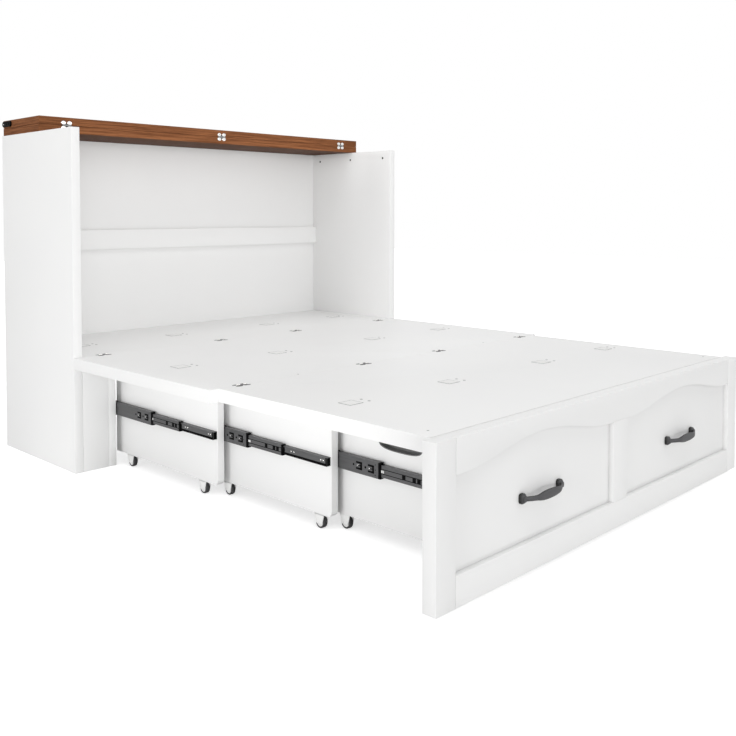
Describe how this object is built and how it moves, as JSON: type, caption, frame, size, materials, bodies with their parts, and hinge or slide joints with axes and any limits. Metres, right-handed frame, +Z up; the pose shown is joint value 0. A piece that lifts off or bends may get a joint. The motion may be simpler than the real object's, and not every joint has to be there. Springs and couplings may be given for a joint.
{
  "type": "folding cabinet bed",
  "caption": "Low cabinet whose hinged platform folds out over a telescoping castered base to make a bed, with a folding wood lid and an arched foot panel.",
  "frame": {"origin": "centre of the bounding box at floor level", "axes": "+Z up, -Y towards the foot end, +X to the right seen from the foot end"},
  "size_m": [1.594, 2.141, 1.2295],
  "materials": {
    "white_board": "smooth white satin paint on board",
    "walnut_top": "satin walnut veneer with fine grain",
    "black_runner": "black zinc steel",
    "dark_pull": "matt dark grey powder coat",
    "nickel_hinge": "bright nickel plate",
    "white_caster": "white moulded plastic",
    "grey_tread": "dark grey tread",
    "black_plastic": "matt black plastic",
    "white_pad": "soft white plastic"
  },
  "bodies": {
    "cabinet": {"side_panel_left": "white_board", "side_panel_right": "white_board", "bolt_caps": "black_plastic", "back_panel": "white_board", "back_rail": "white_board", "front_stile_left": "white_board", "front_stile_right": "white_board", "base_wall_left": "white_board", "base_wall_right": "white_board", "rear_platform": "white_board", "top_board": "walnut_top", "cabinet_hinge_leaves": "nickel_hinge", "mattress_pads_rear": "white_pad", "runner_outer_cabinet": "black_runner"},
    "lid": {"lid_board": "walnut_top", "lid_hinge_leaves": "nickel_hinge", "socket_module": "black_plastic"},
    "middle_leaf": {"middle_platform": "white_board", "middle_rear_leaves": "nickel_hinge", "middle_front_leaves": "nickel_hinge", "mattress_pads_middle": "white_pad"},
    "foot_leaf": {"foot_platform": "white_board", "foot_leaves": "nickel_hinge", "mattress_pads_foot": "white_pad"},
    "section_1": {"section_1_left": "white_board", "section_1_right": "white_board", "section_1_cross_rail": "white_board", "section_1_forks": "white_caster", "runners_section_1": "black_runner"},
    "runner_wide_1_pair": {"runner_wide_1": "black_runner"},
    "runner_middle_1_pair": {"runner_middle_1": "black_runner"},
    "section_1_rear_axle": {"section_1_rear_wheels": "grey_tread"},
    "section_1_front_axle": {"section_1_front_wheels": "grey_tread"},
    "section_2": {"section_2_left": "white_board", "section_2_right": "white_board", "section_2_cross_rail": "white_board", "section_2_forks": "white_caster", "runners_section_2": "black_runner"},
    "runner_wide_2_pair": {"runner_wide_2": "black_runner"},
    "runner_middle_2_pair": {"runner_middle_2": "black_runner"},
    "section_2_rear_axle": {"section_2_rear_wheels": "grey_tread"},
    "section_2_front_axle": {"section_2_front_wheels": "grey_tread"},
    "section_3": {"section_3_left": "white_board", "section_3_right": "white_board", "section_3_cross_rail": "white_board", "section_3_forks": "white_caster", "runner_inner_section_3": "black_runner", "grip_cups": "black_plastic", "foot_post_left": "white_board", "foot_post_right": "white_board", "foot_backing": "white_board", "foot_bottom_rail": "white_board", "foot_centre_stile": "white_board", "foot_top_rail": "white_board", "pull_left": "dark_pull", "pull_right": "dark_pull"},
    "runner_wide_3_pair": {"runner_wide_3": "black_runner"},
    "runner_middle_3_pair": {"runner_middle_3": "black_runner"},
    "section_3_rear_axle": {"section_3_rear_wheels": "grey_tread"},
    "section_3_front_axle": {"section_3_front_wheels": "grey_tread"}
  },
  "joints": [
    {"name": "platform_flip", "type": "hinge", "parent": "cabinet", "child": "middle_leaf", "pos_m": [0, 0.5335, 0.396], "axis": [-1, 0, 0], "range_deg": [0, 90]},
    {"name": "foot_fold", "type": "hinge", "parent": "middle_leaf", "child": "foot_leaf", "pos_m": [0, -0.2405, 0.396], "axis": [-1, 0, 0], "range_deg": [0, 180]},
    {"name": "lid_flip", "type": "hinge", "parent": "cabinet", "child": "lid", "pos_m": [0, 0.7775, 1.2015], "axis": [1, 0, 0], "range_deg": [0, 180]},
    {"name": "section_1_slide", "type": "slide", "parent": "cabinet", "child": "section_1", "axis": [0, 1, 0], "range_m": [0, 0.499]},
    {"name": "runner_wide_1_slide", "type": "slide", "parent": "cabinet", "child": "runner_wide_1_pair", "axis": [0, 1, 0], "range_m": [0, 0.16633]},
    {"name": "runner_middle_1_slide", "type": "slide", "parent": "cabinet", "child": "runner_middle_1_pair", "axis": [0, 1, 0], "range_m": [0, 0.33267]},
    {"name": "section_1_rear_roll", "type": "hinge", "parent": "section_1", "child": "section_1_rear_axle", "pos_m": [0, 0.4815, 0.018], "axis": [1, 0, 0], "continuous": true},
    {"name": "section_1_front_roll", "type": "hinge", "parent": "section_1", "child": "section_1_front_axle", "pos_m": [0, 0.0535, 0.018], "axis": [1, 0, 0], "continuous": true},
    {"name": "section_2_slide", "type": "slide", "parent": "section_1", "child": "section_2", "axis": [0, 1, 0], "range_m": [0, 0.461]},
    {"name": "runner_wide_2_slide", "type": "slide", "parent": "section_1", "child": "runner_wide_2_pair", "axis": [0, 1, 0], "range_m": [0, 0.15367]},
    {"name": "runner_middle_2_slide", "type": "slide", "parent": "section_1", "child": "runner_middle_2_pair", "axis": [0, 1, 0], "range_m": [0, 0.30733]},
    {"name": "section_2_rear_roll", "type": "hinge", "parent": "section_2", "child": "section_2_rear_axle", "pos_m": [0, -0.0155, 0.018], "axis": [1, 0, 0], "continuous": true},
    {"name": "section_2_front_roll", "type": "hinge", "parent": "section_2", "child": "section_2_front_axle", "pos_m": [0, -0.4385, 0.018], "axis": [1, 0, 0], "continuous": true},
    {"name": "section_3_slide", "type": "slide", "parent": "section_2", "child": "section_3", "axis": [0, 1, 0], "range_m": [0, 0.52]},
    {"name": "runner_wide_3_slide", "type": "slide", "parent": "section_2", "child": "runner_wide_3_pair", "axis": [0, 1, 0], "range_m": [0, 0.17333]},
    {"name": "runner_middle_3_slide", "type": "slide", "parent": "section_2", "child": "runner_middle_3_pair", "axis": [0, 1, 0], "range_m": [0, 0.34667]},
    {"name": "section_3_rear_roll", "type": "hinge", "parent": "section_3", "child": "section_3_rear_axle", "pos_m": [0, -0.4935, 0.018], "axis": [1, 0, 0], "continuous": true},
    {"name": "section_3_front_roll", "type": "hinge", "parent": "section_3", "child": "section_3_front_axle", "pos_m": [0, -0.9385, 0.018], "axis": [1, 0, 0], "continuous": true}
  ],
  "couplings": [
    {"joint": "lid_flip", "follows": "foot_fold", "ratio": 1},
    {"joint": "section_1_slide", "follows": "platform_flip", "m_per_rad": 0.31767},
    {"joint": "runner_wide_1_slide", "follows": "platform_flip", "m_per_rad": 0.10589},
    {"joint": "runner_middle_1_slide", "follows": "platform_flip", "m_per_rad": 0.21178},
    {"joint": "section_2_slide", "follows": "platform_flip", "m_per_rad": 0.29348},
    {"joint": "runner_wide_2_slide", "follows": "platform_flip", "m_per_rad": 0.097827},
    {"joint": "runner_middle_2_slide", "follows": "platform_flip", "m_per_rad": 0.19565},
    {"joint": "section_3_slide", "follows": "platform_flip", "m_per_rad": 0.33104},
    {"joint": "runner_wide_3_slide", "follows": "platform_flip", "m_per_rad": 0.11035},
    {"joint": "runner_middle_3_slide", "follows": "platform_flip", "m_per_rad": 0.2207}
  ]
}
